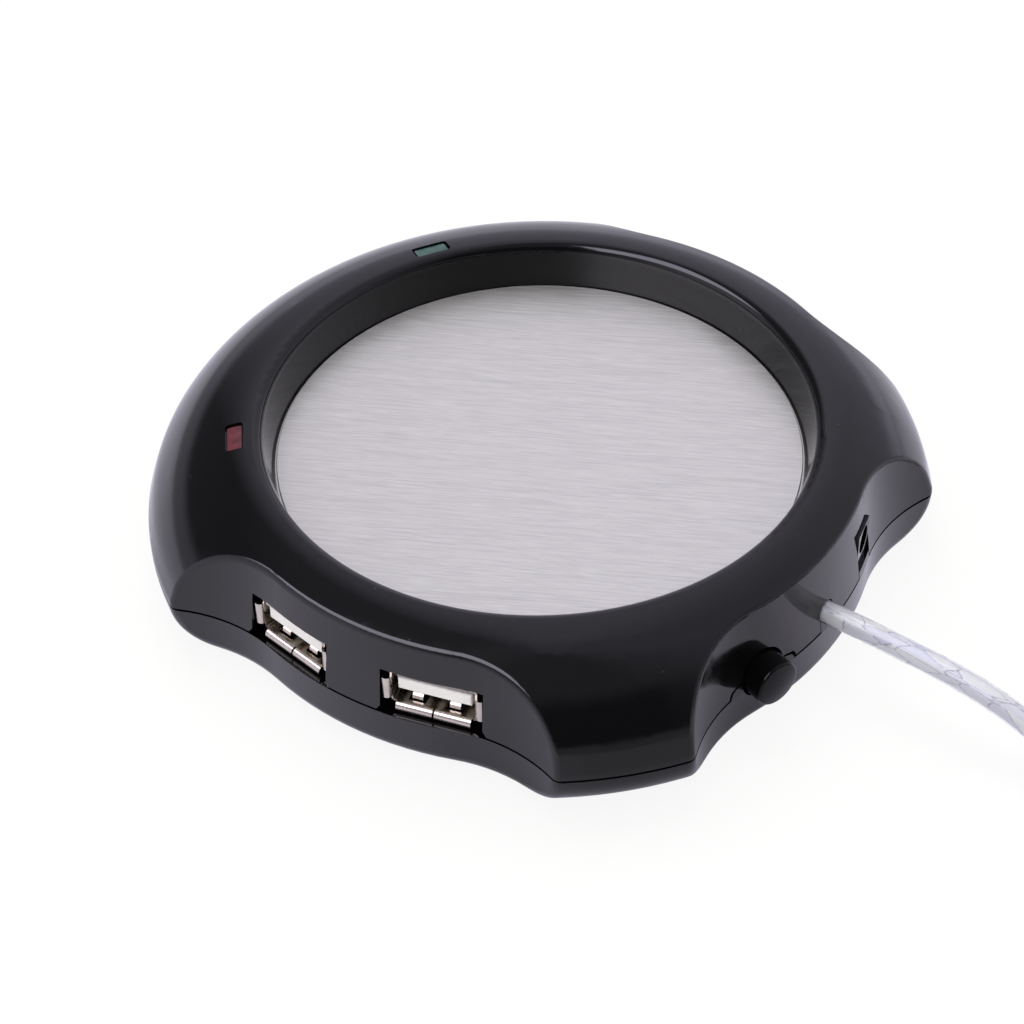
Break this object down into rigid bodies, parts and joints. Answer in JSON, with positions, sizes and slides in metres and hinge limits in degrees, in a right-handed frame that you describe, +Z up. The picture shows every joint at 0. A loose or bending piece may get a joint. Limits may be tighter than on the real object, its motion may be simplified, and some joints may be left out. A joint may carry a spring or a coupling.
{
  "type": "mug warmer",
  "caption": "Low round desk mug warmer: metal hot plate in a well, USB hub sockets in the scalloped rim, power socket, push button, two lights and a USB cord.",
  "frame": {"origin": "on the well's axis, on the surface the feet rest on", "axes": "+Z up; +Y to the rear scallop, where the cord leaves; +X to the right-hand USB sockets"},
  "size_m": [0.1319, 0.1959, 0.0235],
  "materials": {
    "case": "polished black ABS",
    "button": "polished black ABS",
    "hot_plate": "brushed one way",
    "feet": "matt",
    "green_light": "clear tinted green, unlit",
    "red_light": "clear tinted red, unlit",
    "screws": "zinc plated",
    "element": "film heater, amber",
    "insulation": "glass fibre felt",
    "clamp_plate": "sheet, as rolled",
    "wires": "insulated wire",
    "board": "black solder resist",
    "component_black": "moulded",
    "component_metal": "drawn can",
    "component_white": "moulded white",
    "jack": "moulded black",
    "contacts": "gold flashed",
    "socket_metal": "nickel plated sheet",
    "cord": "clear jacket over a foil screen",
    "tie": "soft strap",
    "plug_grip": "moulded white grip"
  },
  "bodies": {
    "warmer": {"board_screws": "screws", "capacitors": "component_metal", "case_screws": "screws", "chip_resistors": "component_black", "circuit_board": "board", "coil_tie": "tie", "cord_clamp": "component_black", "cord_clamp_screws": "screws", "cord_coil": "cord", "cord_tail": "cord", "cord_wires": "wires", "crystal": "component_metal", "dc_jack_body": "jack", "dc_jack_pin": "contacts", "green_light": "green_light", "heater_clamp_plate": "clamp_plate", "heater_clamp_screws": "screws", "heater_element": "element", "heater_insulation": "insulation", "heater_leads": "wires", "hot_plate": "hot_plate", "hub_chip": "component_black", "light_legs": "screws", "lower_shell": "case", "red_light": "red_light", "rubber_feet": "feet", "switch_body": "component_black", "switch_wires": "wires", "thermal_cutoff": "component_black", "upper_shell": "case", "usb_contacts_left_front": "contacts", "usb_contacts_left_rear": "contacts", "usb_contacts_right_front": "contacts", "usb_contacts_right_rear": "contacts", "usb_cord": "cord", "usb_insulator_left_front": "component_white", "usb_insulator_left_rear": "component_white", "usb_insulator_right_front": "component_white", "usb_insulator_right_rear": "component_white", "usb_plug_contacts": "contacts", "usb_plug_grip": "plug_grip", "usb_plug_insulator": "component_white", "usb_plug_shell": "socket_metal", "usb_shell_left_front": "socket_metal", "usb_shell_left_rear": "socket_metal", "usb_shell_right_front": "socket_metal", "usb_shell_right_rear": "socket_metal"},
    "button": {"power_button": "button", "switch_plunger": "component_white"}
  },
  "joints": [
    {"name": "button_press", "type": "slide", "parent": "warmer", "child": "button", "axis": [-0.279, -0.9603, 0], "range_m": [0, 0.002], "stiffness_N_per_m": 500, "springref_m": -0.001}
  ]
}
